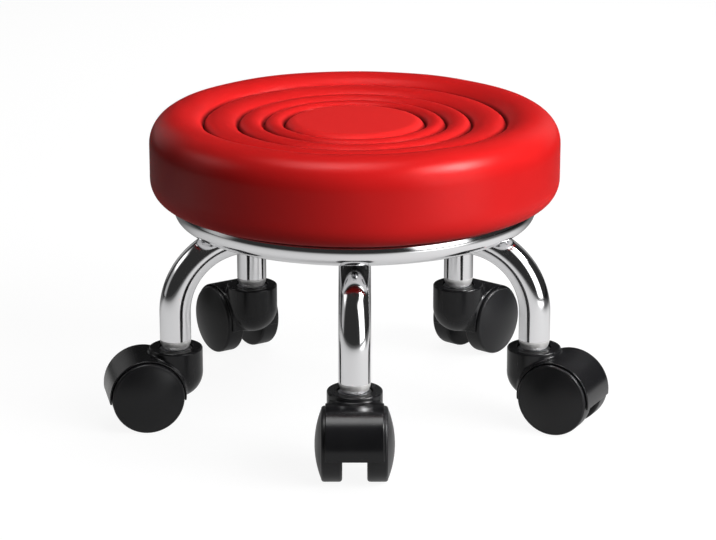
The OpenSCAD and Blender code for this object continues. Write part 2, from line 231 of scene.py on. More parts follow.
def window_glow(tree, direction, azimuth, height, half_wide, half_tall, edge, bright):
    """A soft rectangle of light in the room. Azimuth 0 is towards the camera, 90 right."""
    turn, rise = math.radians(azimuth), math.radians(height)
    ahead = Vector((math.sin(turn) * math.cos(rise), -math.cos(turn) * math.cos(rise), math.sin(rise)))
    across = Vector((math.cos(turn), math.sin(turn), 0))
    glow = bright
    for axis, half in ((across, half_wide), (ahead.cross(across), half_tall)):
        part = tree.node(
            "ShaderNodeVectorMath", [direction, tuple(axis)], {"operation": "DOT_PRODUCT"}, output="Value"
        )
        low, high = (math.sin(math.radians(half + side)) for side in (-edge, edge))
        glow = (1 - part.math("ABSOLUTE").clipped(low, high)) * glow
    facing = tree.node(
        "ShaderNodeVectorMath", [direction, tuple(ahead)], {"operation": "DOT_PRODUCT"}, output="Value"
    )
    return glow * facing.math("GREATER_THAN", 0.0)


def make_world():
    world = bpy.context.scene.world or bpy.data.worlds.new("studio")
    bpy.context.scene.world = world
    world.use_nodes = True
    world.node_tree.nodes.clear()
    tree = Tree(world.node_tree)
    direction = tree.node("ShaderNodeTexCoord", output="Generated")
    glow = sum(window_glow(tree, direction, **window) for window in WINDOWS.values()) + ROOM_DARK
    room = tree.node("ShaderNodeBackground", {"Color": glow})
    fill = tree.node("ShaderNodeBackground", {"Color": (FILL, FILL, FILL, 1)})
    white = tree.node("ShaderNodeBackground", {"Color": (1, 1, 1, 1)})
    unseen = tree.blend(tree.seen_by("Is Glossy Ray", "Is Transmission Ray"), fill, room)
    seen = tree.blend(tree.seen_by("Is Camera Ray"), unseen, white)
    tree.link(tree.tree.nodes.new("ShaderNodeOutputWorld").inputs[0], seen)


make_world()
print("windows:", len(WINDOWS))

# %% [markdown]
# The floor is one large sheet that looks different to three kinds of rays. The camera sees
# white with the stool's soft shadow on it. Mirrors see a pool of light round the stool that
# fades to a dark room, and a bright spot where the large window meets the floor. Half of
# the pool glows by itself, so that it reaches past the lamps. All other light gets little
# back from it, as the underside of the real seat is dark.

# %% Floor
FLOOR_SIZE = 12
FLOOR_LIGHT_BACK = 0.1
FLOOR_SHADOW_SHARE = 0.14
FLOOR_WHITE = 1.06
POOL_NEAR = 0.2
POOL_FAR = 1.6
POOL_BRIGHT = 0.82
POOL_DARK = 0.15
POOL_STRETCH = 0.6
POOL_OWN_GLOW = 0.5
SHADE_RIGHT = (0.35, 0.7)
SHADE_FRONT = (-0.45, -0.2)
SHADE_RIGHT_DEPTH = 0.85
SHADE_BEHIND = (0.05, 0.35)
SHADE_BEHIND_DEPTH = 0.75
SPOT_PLACE = (0.8, -0.62)
SPOT_SIZE = (0.15, 0.5)
SPOT_BRIGHT = 1.1


def pool_colour(finish):
    """How bright the floor is in a mirror: a wide pool, in shade on its right and behind."""
    x, y, _ = finish.axes(finish.place())
    wide = x * POOL_STRETCH
    away = (wide * wide + y * y).math("SQRT")
    pool = POOL_BRIGHT - away.clipped(POOL_NEAR, POOL_FAR) * (POOL_BRIGHT - POOL_DARK)
    right = 1 - x.clipped(*SHADE_RIGHT) * y.clipped(*SHADE_FRONT) * SHADE_RIGHT_DEPTH
    behind = 1 - y.clipped(*SHADE_BEHIND) * SHADE_BEHIND_DEPTH
    from_spot = x - SPOT_PLACE[0], y - SPOT_PLACE[1]
    spot = 1 - sum(part * part for part in from_spot).math("SQRT").clipped(*SPOT_SIZE)
    return pool * right * behind + spot * SPOT_BRIGHT


def make_floor():
    half = FLOOR_SIZE / 2
    mesh = bpy.data.meshes.new("floor")
    corners = [(-half, -half, 0), (half, -half, 0), (half, half, 0), (-half, half, 0)]
    mesh.from_pydata(corners, [], [(0, 1, 2, 3)])
    floor = bpy.data.objects.new("floor", mesh)
    bpy.context.scene.collection.objects.link(floor)
    finish = Finish("pale_floor", roughness=1.0, specular_ior_level=0.0)
    finish.set("Base Color", (FLOOR_LIGHT_BACK,) * 3 + (1,))
    plain = Value(finish, finish.shader.outputs[0])
    matt = {"Roughness": 1.0, "Specular IOR Level": 0.0}
    half_pool = pool_colour(finish) * POOL_OWN_GLOW
    pool = finish.node(
        "ShaderNodeBsdfPrincipled",
        {"Base Color": half_pool, "Emission Color": half_pool, "Emission Strength": 1.0, **matt},
    )
    shadow = finish.node("ShaderNodeBsdfPrincipled", {"Base Color": (1, 1, 1, 1), **matt})
    white = finish.node("ShaderNodeEmission", {"Strength": FLOOR_WHITE})
    surface = finish.blend(finish.seen_by("Is Glossy Ray", "Is Transmission Ray"), plain, pool)
    pale = finish.blend(FLOOR_SHADOW_SHARE, white, shadow)
    surface = finish.blend(finish.seen_by("Is Camera Ray"), surface, pale)
    finish.link(finish.tree.nodes["Material Output"].inputs["Surface"], surface)
    mesh.materials.append(finish.material)


make_floor()
print("floor ready")

# %% [markdown]
# The lamps light the stool but don't show in the chrome, as the room's windows stand for
# them there. A lamp that is only hidden from glossy rays still leaves a sheen, so its
# multiple importance sampling is off too. Two lamps on the right light the seat's side.
# One overhead lights its top, and a low one behind grazes it, which brings out the beads
# between the pressed channels. The left stays in shade.

# %% Lamps
LAMP_SIZE = 0.9
LAMP_AIM = Vector((0, 0, 0.17))
LAMPS = {
    "right_lamp": dict(place=(1.36, -0.55, 0.82), power=20.5),
    "front_right_lamp": dict(place=(0.93, -1.08, 0.94), power=11),
    "back_lamp": dict(place=(0.2, 1.46, 0.82), power=4.5),
    "top_lamp": dict(place=(0.3, 0.25, 1.6), power=7.8),
}


def make_lamp(name, place, power):
    """A soft square lamp at a place, turned to face the seat."""
    light = bpy.data.lights.new(name, "AREA")
    light.shape = "SQUARE"
    light.size = LAMP_SIZE
    light.energy = power
    lamp = bpy.data.objects.new(name, light)
    lamp.location = place
    lamp.rotation_euler = (LAMP_AIM - lamp.location).to_track_quat("-Z", "Y").to_euler()
    lamp.visible_glossy = False
    light.cycles.use_multiple_importance_sampling = False
    bpy.context.scene.collection.objects.link(lamp)


for lamp_name, lamp_values in LAMPS.items():
    make_lamp(lamp_name, **lamp_values)
print("lamps:", len(LAMPS))

# %% [markdown]
# The seat is covered in red vinyl. Real vinyl has a fine pebbled grain, a little under a
# millimetre across, and a soft shine that varies over the surface. Painted shade darkens
# a line along each crease, where the beads shade the channel. The flat middle gets painted
# light and is a little lighter, and the edge that is turned under the pad gets painted shade
# and a duller shine. The grain could be a picture, but a noise pattern in the piece's own
# coordinates needs no unwrapping and holds at any distance.

# %% Vinyl
CHANNEL_RADII = [r * MM for r in (49.8, 64.3, 82.4, 106.6)]
VINYL_GRAIN = 1400
VINYL_GRAIN_DEPTH = 0.05 * MM
CREASE_LINE = 2.8 * MM
CREASE_SHOULDER = 9 * MM
CREASE_PAINTED_SHADE = 0.92
MIDDLE_EDGE = 4 * MM
TOP_FROM = (0.6, 0.65)
UNDER_EDGE = (9 * MM, 15 * MM)
UNDER_RISE = (7 * MM, 13 * MM)
UNDER_PAINTED_SHADE = 0.95
DULL_RISE = (6 * MM, 20 * MM)


def vinyl_finish():
    finish = Finish("red_vinyl", roughness=0.35, specular_ior_level=0.25)
    finish.shader.distribution = "GGX"
    place = finish.place()
    x, y, z = finish.axes(place)
    radius = (x * x + y * y).math("SQRT")
    near = None
    for channel in CHANNEL_RADII:
        gap = (radius - channel).math("ABSOLUTE")
        near = gap if near is None else near.math("MINIMUM", gap)
    rise = z - seat_low.z
    on_top = rise.clipped(*(share * seat_tall for share in TOP_FROM))
    crease = (1 - near.clipped(0.0, CREASE_LINE)) * on_top
    shoulder = (1 - near.clipped(CREASE_LINE, CREASE_SHOULDER)) * on_top
    # Painted shade: a mask for the edge turned under the pad, which is coloured dark for the shade below
    # the seat.
    inwards = (seat_high.x - radius).clipped(*UNDER_EDGE)
    under_shade = inwards * (1 - rise.clipped(*UNDER_RISE))
    cloudy = finish.noise(place, 14, 3)
    grain = finish.noise(place, VINYL_GRAIN, 2, 0.6)
    vinyl_red = finish.mix(cloudy.clipped(0.3, 0.7), linear(211, 29, 29), linear(219, 32, 32))
    # Painted light: the flat middle inside the first crease is coloured a lighter red for the light that
    # falls on it.
    middle = 1 - radius.clipped(CHANNEL_RADII[0] - MIDDLE_EDGE, CHANNEL_RADII[0])
    vinyl_red = finish.mix(middle * on_top, vinyl_red, linear(241, 43, 42))
    dull = 1 - rise.clipped(*DULL_RISE)
    # Painted shade: the creases and the edge turned under the pad are coloured dark red for the shade that
    # falls there.
    painted_shade = (crease * CREASE_PAINTED_SHADE).math("MAXIMUM", under_shade * UNDER_PAINTED_SHADE)
    finish.set("Base Color", finish.mix(painted_shade, vinyl_red, linear(52, 2, 3)))
    worn = shoulder * 0.12 + crease * 0.3 + dull * 0.3
    finish.set("Roughness", 0.29 + cloudy * 0.06 + grain * 0.04 + worn)
    finish.set("Normal", finish.bump(grain, VINYL_GRAIN_DEPTH, 0.5))
    return finish.material


seat_low, seat_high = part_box("seat_cover")
seat_tall = seat_high.z - seat_low.z
vinyl = vinyl_finish()
print("seat from", round(seat_low.z, 4), "to", round(seat_high.z, 4))

# %% [markdown]
# Chrome is a mirror with a faint blue-grey tint. Plated tube is never perfect: the
# polishing leaves long, very shallow waves and a slight haze here and there. Both are far
# too shallow to model as shape, so one noise drives the roughness and another a bump of a
# few thousandths of a millimetre.

# %% Chrome and zinc
def chrome_finish():
    finish = Finish("polished_chrome", metallic=1.0, roughness=0.05)
    finish.set("Base Color", (0.80, 0.80, 0.81, 1))
    place = finish.place()
    haze = finish.noise(place, 35, 4, 0.6)
    waves = finish.noise(place, 90, 1)
    finish.set("Roughness", 0.07 + haze * 0.06)
    finish.set("Normal", finish.bump(waves, 0.01 * MM, 0.25))
    return finish.material


def zinc_finish():
    finish = Finish("bright_zinc", metallic=1.0, roughness=0.3)
    place = finish.place()
    patches = finish.node("ShaderNodeTexVoronoi", {"Vector": place, "Scale": 260}, output="Distance")
    fine = finish.noise(place, 1800, 2)
    finish.set("Base Color", finish.mix(patches, (0.52, 0.53, 0.55, 1), (0.72, 0.73, 0.75, 1)))
    finish.set("Roughness", 0.2 + fine * 0.2)
    finish.set("Normal", finish.bump(fine, 0.01 * MM, 0.4))
    return finish.material


chrome = chrome_finish()
zinc = zinc_finish()
print("metals ready")

# %% [markdown]
# The casters are moulded in black nylon. The hood comes out of a polished mould and is
# glossy, with the faint orange-peel of moulded plastic. The wheels are satin. The steel
# plate under the seat has black enamel, and the board under the foam is plywood.

# %% Plastics, wood and cloth
def caster_finish():
    finish = Finish("gloss_black_nylon", roughness=0.22, specular_ior_level=0.3)
    place = finish.place()
    peel = finish.noise(place, 420, 2)
    haze = finish.noise(place, 60, 3)
    finish.set("Base Color", finish.mix(haze, (0.008, 0.008, 0.009, 1), (0.012, 0.012, 0.013, 1)))
    finish.set("Roughness", 0.17 + haze * 0.12)
    finish.set("Normal", finish.bump(peel, 0.03 * MM, 0.25))
    return finish.material


def wheel_finish():
    finish = Finish("satin_black_nylon", roughness=0.35, specular_ior_level=0.3)
    place = finish.place()
    fine = finish.noise(place, 1500, 2)
    haze = finish.noise(place, 70, 3)
    finish.set("Base Color", finish.mix(haze, (0.009, 0.009, 0.010, 1), (0.013, 0.013, 0.014, 1)))
    finish.set("Roughness", 0.28 + haze * 0.1 + fine * 0.06)
    finish.set("Normal", finish.bump(fine, 0.02 * MM, 0.4))
    return finish.material


def enamel_finish():
    finish = Finish("black_enamel", roughness=0.5, specular_ior_level=0.3)
    place = finish.place()
    peel = finish.noise(place, 700, 2)
    finish.set("Base Color", finish.mix(peel, (0.006, 0.006, 0.006, 1), (0.012, 0.012, 0.012, 1)))
    finish.set("Roughness", 0.42 + peel * 0.15)
    finish.set("Normal", finish.bump(peel, 0.03 * MM, 0.3))
    return finish.material


def plywood_finish():
    finish = Finish("plywood", roughness=0.7)
    place = finish.place()
    grain = finish.node(
        "ShaderNodeTexWave",
        {"Vector": place, "Scale": 28, "Distortion": 6, "Detail": 3, "Detail Scale": 1.5},
        {"bands_direction": "Y"},
        output="Fac",
    )
    pores = finish.noise(place, 900, 2)
    finish.set("Base Color", finish.mix(grain, linear(176, 132, 84), linear(205, 165, 115)))
    finish.set("Roughness", 0.6 + pores * 0.25)
    finish.set("Normal", finish.bump(pores, 0.08 * MM, 0.5))
    return finish.material


caster_black = caster_finish()
wheel_black = wheel_finish()
plywood = plywood_finish()
print("plastics and wood ready")

# %% [markdown]
# Many of the stool's pieces are turned shapes, so one helper spins an outline round the
# Z axis. Making the rings of points directly, in place of a Spin, keeps the seam and the
# poles closed and all faces outwards.

# %% Turned shapes
QUARTER_STEPS = 12
QUARTER = [math.radians(90 * k / QUARTER_STEPS) for k in range(QUARTER_STEPS + 1)]


def turned(name, outline, segments, material, closed=False):
    """Spins an outline of (radius, height) points, given from the top down."""
    angles = [2 * math.pi * i / segments for i in range(segments)]
    points, rings = [], []
    for radius, height in outline:
        if radius < 1e-9:
            rings.append([len(points)])
            points.append((0, 0, height))
        else:
            rings.append(list(range(len(points), len(points) + segments)))
            points += [(radius * math.cos(a), radius * math.sin(a), height) for a in angles]
    faces = []
    pairs = list(zip(rings, rings[1:] + rings[:1])) if closed else list(zip(rings, rings[1:]))
    for upper, lower in pairs:
        for i in range(segments):
            j = (i + 1) % segments
            if len(upper) == 1:
                faces.append((upper[0], lower[i], lower[j]))
            elif len(lower) == 1:
                faces.append((upper[i], lower[0], upper[j]))
            else:
                faces.append((upper[i], lower[i], lower[j], upper[j]))
    mesh = bpy.data.meshes.new(name)
    mesh.from_pydata(points, [], faces)
    mesh.materials.append(material)
    mesh.shade_smooth()
    piece = bpy.data.objects.new(name, mesh)
    bpy.context.scene.collection.objects.link(piece)
    return piece


def arc(x, y, radius, start, end, steps):
    """Points on a round corner about (x, y), from one angle to another in degrees."""
    angles = [math.radians(start + (end - start) * i / steps) for i in range(steps + 1)]
    return [(x + radius * math.cos(a), y + radius * math.sin(a)) for a in angles]


print("turning helper ready")

# %% [markdown]
# The seat is a foam pad under a vinyl cover that a press has closed along four rings.
# Between the rings the pad swells, so each ring is a low soft bead, and the press lines
# are narrow creases. The outline below says this in one rule: a crown between two
# creases, and a quarter of an ellipse that falls into each of them.

# %% Seat outline
SEAT_DISH = 6 * MM
RIM_DROP = 3.2 * MM
RIM_CORNER = 21 * MM
CREASE_DEPTH = 7.4 * MM
DISC_SHOULDER = 9 * MM
ROLL_SHOULDER = 17 * MM
BEAD_SHOULDER_SHARE = 0.5
LOW_CORNER = (12.2 * MM, 15.2 * MM)
TURN_UNDER = 12.5 * MM
COVER_THICKNESS = 1.2 * MM
BOARD_GAP = 0.1 * MM
PLAIN_STEPS = 24
MIDDLE_STEPS = 4
BEAD_STEPS = 16
ROLL_STEPS = 10
CORNER_STEPS = 14
SIDE_STEP = 4 * MM
SIDE_STEPS = 5
RISE_STEPS = 6
STRIP_STEPS = 4

seat_radius = seat_high.x
crest_radius = seat_radius - RIM_CORNER
under_radius = seat_radius - LOW_CORNER[0]


def pad_height(radius):
    """Height of the pad's top with no creases: a flat middle, a dish and the rim roll."""
    flat = CHANNEL_RADII[0]
    last = CHANNEL_RADII[-1]
    if radius <= flat:
        return seat_high.z - SEAT_DISH
    if radius <= last:
        share = (radius - flat) / (last - flat)
        return seat_high.z - SEAT_DISH + (SEAT_DISH - RIM_DROP) * share ** 2
    share = (crest_radius - radius) / (crest_radius - last)
    return seat_high.z - RIM_DROP * share ** 2


def crease_dip(radius):
    """How far the press lines pull the top down at a radius."""
    edges = [0] + CHANNEL_RADII + [crest_radius]
    dip = 0
    for inner, outer in zip(edges, edges[1:]):
        if not inner <= radius <= outer:
            continue
        width = outer - inner
        for crease, away in ((inner, radius - inner), (outer, outer - radius)):
            if crease not in CHANNEL_RADII:
                continue
            shoulder = BEAD_SHOULDER_SHARE * width
            if crease == CHANNEL_RADII[0] and inner == 0:
                shoulder = DISC_SHOULDER
            if crease == CHANNEL_RADII[-1] and outer == crest_radius:
                shoulder = ROLL_SHOULDER
            if away < shoulder:
                dip = max(dip, CREASE_DEPTH * (1 - math.sqrt(1 - (1 - away / shoulder) ** 2)))
    return dip


def seat_outline(creases=True):
    """The whole pad from the middle of its top, round its side, to its lowest edge."""
    line = [(r, pad_height(r) - (crease_dip(r) if creases else 0)) for r in top_radii(creases)]
    side = arc(crest_radius, seat_high.z - RIM_CORNER, RIM_CORNER, 90, 0, CORNER_STEPS)[1:]
    middle = [(seat_radius, seat_high.z - RIM_CORNER - k * SIDE_STEP) for k in range(1, SIDE_STEPS + 1)]
    reach, rise = LOW_CORNER
    corner = [(under_radius + reach * math.cos(a), seat_low.z + rise * (1 - math.sin(a))) for a in QUARTER]
    return line + side + middle + corner


def top_radii(creases):
    """Radii of the top's rings, close together beside each crease."""
    if not creases:
        return [crest_radius * k / PLAIN_STEPS for k in range(PLAIN_STEPS + 1)]
    radii = [0.0]
    edges = [0] + CHANNEL_RADII + [crest_radius]
    for inner, outer in zip(edges, edges[1:]):
        half = (outer - inner) / 2
        if inner > 0:
            radii += [inner + half * (k / BEAD_STEPS) ** 2 for k in range(1, BEAD_STEPS)]
        else:
            radii += [half * k / MIDDLE_STEPS for k in range(1, MIDDLE_STEPS)]
        last = ROLL_STEPS if outer == crest_radius else BEAD_STEPS
        radii += [outer - half * (k / last) ** 2 for k in range(last, -1, -1)]
    return radii


print("outline points:", len(seat_outline()))

# %% [markdown]
# Foam under a tight cover swells a little unevenly. Blender's cloth solver gives that
# swell: the plain pad is remeshed into even faces, inflated for twenty frames with its
# underside pinned to the board, and each point may move only a few millimetres.
# The solver works on coarse faces, so a share of the movement is kept, smoothed and added
# to the fine outline. Each ring of the outline keeps its mean place, so the pad keeps its
# size. The creases are in the fine outline, because a remesh would blur them.

# %% Seat swell
SWELL_VOXEL = 5 * MM
SWELL_START_INSET = 1.2 * MM
SWELL_CAP = 2.2 * MM
SWELL_SMOOTHING = 9 * MM
SWELL_FRAMES = 20
SWELL_SHARE = 0.35
SWELL_HELD_BELOW = 6 * MM
SWELL_FREE_ABOVE = 12 * MM
SEAT_SEGMENTS = 256


def simulated_swell():
    """Where the plain pad's points are before, and how far the cloth solver moves them."""
    inset = 1 - SWELL_START_INSET / seat_radius
    outline = [(r * inset, z) for r, z in seat_outline(creases=False)]
    outline.append((0, seat_low.z))
    pad = turned("swell_pad", outline, 96, vinyl)
    remesh = pad.modifiers.new("even_faces", "REMESH")
    remesh.mode = "VOXEL"
    remesh.voxel_size = SWELL_VOXEL
    graph = bpy.context.evaluated_depsgraph_get()
    even = bpy.data.meshes.new_from_object(pad.evaluated_get(graph))
    pad.modifiers.clear()
    pad.data = even
    start = np.array([v.co for v in even.vertices])
    held = pad.vertex_groups.new(name="held")
    low = np.nonzero(start[:, 2] < seat_low.z + SWELL_HELD_BELOW)[0]
    held.add([int(i) for i in low], 1.0, "REPLACE")
    cloth = pad.modifiers.new("swell", "CLOTH")
    cloth.settings.vertex_group_mass = "held"
    cloth.settings.use_pressure = True
    cloth.settings.uniform_pressure_force = 4
    cloth.settings.effector_weights.gravity = 0
    cloth.settings.tension_stiffness = 30
    cloth.settings.compression_stiffness = 30
    cloth.settings.bending_stiffness = 2
    for step in range(1, SWELL_FRAMES + 1):
        bpy.context.scene.frame_set(step)
    graph = bpy.context.evaluated_depsgraph_get()
    moved = bpy.data.meshes.new_from_object(pad.evaluated_get(graph))
    move = np.array([v.co for v in moved.vertices]) - start
    bpy.context.scene.frame_set(1)
    bpy.data.objects.remove(pad)
    length = np.linalg.norm(move, axis=1, keepdims=True)
    return start, move * np.minimum(1, SWELL_CAP / np.maximum(length, 1e-9))


def smoothed_at(points, start, move):
    """The movement at some points, as a weighted mean of the movements near them."""
    result = np.zeros_like(points)
    for first in range(0, len(points), 2000):
        block = points[first:first + 2000]
        gap = ((block[:, None, :] - start[None, :, :]) ** 2).sum(2)
        weight = np.exp(-gap / (2 * SWELL_SMOOTHING ** 2)) + 1e-12
        result[first:first + 2000] = weight @ move / weight.sum(1, keepdims=True)
    return result


def swell_seat(piece):
    """Adds the uneven part of the simulated swell, so that the pad keeps its size."""
    start, move = simulated_swell()
    points = np.array([v.co for v in piece.data.vertices])
    swell = smoothed_at(points, start, move) * SWELL_SHARE
    radius = np.hypot(points[:, 0], points[:, 1])
    outward = points[:, :2] / np.maximum(radius, 1e-6)[:, None]
    side = (swell[:, :2] * outward).sum(1)
    rings = (np.arange(len(points)) + SEAT_SEGMENTS - 1) // SEAT_SEGMENTS
    for number in np.unique(rings):
        ring = rings == number
        side[ring] -= side[ring].mean()
        swell[ring, 2] -= swell[ring, 2].mean()
    free = np.clip((points[:, 2] - seat_low.z) / SWELL_FREE_ABOVE, 0, 1)
    points[:, :2] += outward * (side * free)[:, None]
    points[:, 2] += swell[:, 2] * free
    piece.data.vertices.foreach_set("co", points.astype(np.float32).ravel())
    piece.data.update()
    print("swell, mm: largest", round(float(np.abs(side).max() * 1000), 2))


# %% [markdown]
# The finished cover wraps round the pad and under the board, so the seat is one closed
# shape with a pocket for the board. It stands for both the cover and the foam, which
# can't be seen inside it. Its lowest edge hangs a little beside the ring, and the cover
# then runs up to the flat strip that rests on the ring.

# %% Seat cushion
def make_cushion():
    board_low, board_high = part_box("seat_board")
    strip_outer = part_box("chrome_ring")[1].x
    strip_inner = strip_outer - TURN_UNDER
    strip_height = board_low.z - COVER_THICKNESS
    line = seat_outline()
    for k in range(1, RISE_STEPS + 1):
        share = k / RISE_STEPS
        rise = (strip_height - seat_low.z) * share ** 2 * (3 - 2 * share)
        line.append((under_radius + (strip_outer - under_radius) * share, seat_low.z + rise))
    line += [(strip_outer - TURN_UNDER * k / STRIP_STEPS, strip_height) for k in range(1, STRIP_STEPS + 1)]
    pocket = board_high.x + BOARD_GAP
    line += [(strip_inner, board_low.z - BOARD_GAP), (pocket, board_low.z - BOARD_GAP)]
    line += [(pocket, board_high.z + BOARD_GAP), (0, board_high.z + BOARD_GAP)]
    cushion = turned("seat_cushion", line, SEAT_SEGMENTS, vinyl)
    swell_seat(cushion)
    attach(cushion, "stool_frame")
    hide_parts("seat_cover", "seat_foam")
    print("cushion faces:", len(cushion.data.polygons))


make_cushion()

# %% [markdown]
# The frame is bent tube. A tube follows a path, which is what a Geometry Nodes tree does
# well: three points, a fillet for the bend and a circle swept along them. The tree has
# named sizes, so one tree makes all five legs. One more class builds such trees with the
# same node method that the finishes use.

# %% Geometry Nodes helper
class Pattern(Tree):
    """One Geometry Nodes tree with named sizes, and the plain meshes that it makes."""

    def __init__(self, name, *sizes):
        super().__init__(bpy.data.node_groups.new(name, "GeometryNodeTree"))
        self.tree.interface.new_socket("Geometry", in_out="OUTPUT", socket_type="NodeSocketGeometry")
        for size in sizes:
            self.tree.interface.new_socket(size, in_out="INPUT", socket_type="NodeSocketFloat")
        self.source = self.tree.nodes.new("NodeGroupInput")

    def __getitem__(self, key):
        return Value(self, self.source.outputs[key])

    def end(self, geometry, material):
        """Closes the tree: real copies in place of instances, and their material."""
        real = self.node("GeometryNodeRealizeInstances", [geometry])
        done = self.node("GeometryNodeSetMaterial", {"Geometry": real, "Material": material})
        out = self.tree.nodes.new("NodeGroupOutput")
        self.link(out.inputs[0], done)

    def make(self, name, **values):
        """A new object with this tree's result as its own plain mesh."""
        piece = bpy.data.objects.new(name, bpy.data.meshes.new(name + "_seed"))
        bpy.context.scene.collection.objects.link(piece)
        modifier = piece.modifiers.new(name, "NODES")
        modifier.node_group = self.tree
        for item in self.tree.interface.items_tree:
            if item.in_out == "INPUT":
                modifier[item.identifier] = values[item.name]
        graph = bpy.context.evaluated_depsgraph_get()
        mesh = bpy.data.meshes.new_from_object(piece.evaluated_get(graph))
        piece.modifiers.clear()
        piece.data = mesh
        mesh.name = name
        return piece


def tube_leg_tree():
    """A tube that rises from a foot, bends once and runs level to the hub."""
    tree = Pattern("bent_tube", "foot", "run", "reach", "end", "bend", "tube")
    index = tree.node("GeometryNodeInputIndex")
    second = index.math("GREATER_THAN", 0.5)
    third = index.math("GREATER_THAN", 1.5)
    x = tree["reach"] - (tree["reach"] - tree["end"]) * third
    z = tree["foot"] + (tree["run"] - tree["foot"]) * second
    corner = tree.node("ShaderNodeCombineXYZ", {"X": x, "Z": z})
    line = tree.node("GeometryNodeMeshLine", {"Count": 3})
    line = tree.node("GeometryNodeSetPosition", {"Geometry": line, "Position": corner})
    path = tree.node("GeometryNodeMeshToCurve", {"Mesh": line})
    path = tree.node(
        "GeometryNodeFilletCurve", {"Curve": path, "Count": 40, "Radius": tree["bend"]}, {"mode": "POLY"}
    )
    circle = tree.node("GeometryNodeCurvePrimitiveCircle", {"Resolution": 72, "Radius": tree["tube"]})
    skin = tree.node("GeometryNodeCurveToMesh", {"Curve": path, "Profile Curve": circle})
    tree.end(skin, chrome)
    return tree


# %% [markdown]
# Each leg is a 22 mm tube with a wall of 1.5 mm. The tree gives the outer skin, and a
# Solidify modifier gives the wall, so that the open foot has a real edge.

# %% Legs
LEG_POSITIONS = ["front", "right", "rear_right", "rear_left", "left"]
TUBE_WALL = 1.5 * MM
BEND_RADIUS = 50 * MM
WELD_SINK = 2 * MM

swivels = {}
for joint in frame["joints"]:
    if joint["child"].startswith("swivel_"):
        swivels[joint["child"].removeprefix("swivel_")] = joint
leg_reach = math.hypot(*swivels["front"]["pos_m"][:2])
leg_azimuths = {name: math.atan2(*reversed(j["pos_m"][:2])) for name, j in swivels.items()}


def smooth_with_edges(piece):
    """Smooth shading that keeps each real edge crisp, which a mirror finish needs."""
    piece.data.shade_smooth()
    piece.data.set_sharp_from_angle(angle=math.radians(35))


def applied(piece):
    """Makes the piece's modifiers part of its mesh."""
    graph = bpy.context.evaluated_depsgraph_get()
    mesh = bpy.data.meshes.new_from_object(piece.evaluated_get(graph))
    piece.modifiers.clear()
    piece.data = mesh


def make_legs():
    low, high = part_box("leg_front")
    tube = (high.x - low.x) / 2
    hub_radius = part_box("leg_hub")[1].x
    tree = tube_leg_tree()
    for name in LEG_POSITIONS:
        leg = tree.make(
            f"{name}_leg_tube", foot=low.z, run=high.z - tube, reach=leg_reach,
            end=hub_radius - WELD_SINK, bend=BEND_RADIUS, tube=tube,
        )
        wall = leg.modifiers.new("wall", "SOLIDIFY")
        wall.thickness = TUBE_WALL
        wall.offset = -1
        applied(leg)
        leg.data.transform(Matrix.Rotation(leg_azimuths[name], 4, "Z"))
        smooth_with_edges(leg)
        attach(leg, "stool_frame")
        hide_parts(f"leg_{name}")
    print("leg faces:", len(leg.data.polygons), "tube radius, mm:", round(tube * 1000, 2))


make_legs()

# %% [markdown]
# Each leg's open end is closed by a plug with a domed collar, which stands on the caster's
# washer. The collar is nickel-plated steel with a satin shine, so part of its light is
# diffuse. It is turned from the outline of its section: up the bore inside and round the
# dome outside.

# %% Leg ends
COLLAR_FLAT = 1.2 * MM
PLUG_CLEARANCE = 0.02 * MM


def nickel_finish():
    finish = Finish("satin_nickel", metallic=0.4, roughness=0.3)
    place = finish.place()
    rings = finish.noise(place, 900, 2)
    finish.set("Base Color", finish.mix(rings, (0.84, 0.83, 0.82, 1), (0.92, 0.91, 0.90, 1)))
    finish.set("Roughness", 0.24 + rings * 0.14)
    finish.set("Normal", finish.bump(rings, 0.01 * MM, 0.4))
    return finish.material


def make_leg_ends():
    nickel = nickel_finish()
    tube = (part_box("leg_front")[1].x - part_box("leg_front")[0].x) / 2
    tube_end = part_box("leg_front")[0].z
    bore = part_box("stem_front")[1].x + PLUG_CLEARANCE
    plug = tube - TUBE_WALL - PLUG_CLEARANCE
    for name in LEG_POSITIONS:
        low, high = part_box(f"socket_{name}")
        foot = bore + COLLAR_FLAT
        reach, drop = tube - foot, tube_end - low.z
        line = [(bore, high.z), (plug - MM, high.z), (plug, high.z - MM), (plug, tube_end)]
        line += [(foot + reach * math.cos(a), tube_end - drop * math.sin(a)) for a in QUARTER]
        line.append((bore, low.z))
        end = turned(f"{name}_leg_end", line, 72, nickel, closed=True)
        end.data.transform(Matrix.Translation((*swivels[name]["pos_m"][:2], 0)))
        smooth_with_edges(end)
        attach(end, "stool_frame")
        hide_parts(f"socket_{name}")
    print("leg end faces:", len(end.data.polygons))


make_leg_ends()

# %% [markdown]
# The ring under the cushion is one closed tube, so its path is a circle.

# %% Ring
def make_ring():
    low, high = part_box("chrome_ring")
    tube = (high.z - low.z) / 2
    tree = Pattern("closed_tube", "radius", "tube")
    path = tree.node("GeometryNodeCurvePrimitiveCircle", {"Resolution": 288, "Radius": tree["radius"]})
    circle = tree.node("GeometryNodeCurvePrimitiveCircle", {"Resolution": 56, "Radius": tree["tube"]})
    tree.end(tree.node("GeometryNodeCurveToMesh", {"Curve": path, "Profile Curve": circle}), chrome)
    ring = tree.make("seat_ring", radius=high.x - tube, tube=tube)
    ring.data.transform(Matrix.Translation((0, 0, low.z + tube)))
    ring.data.shade_smooth()
    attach(ring, "stool_frame")
    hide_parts("chrome_ring")
    print("ring radius, mm:", round((high.x - tube) * 1000, 2))


make_ring()

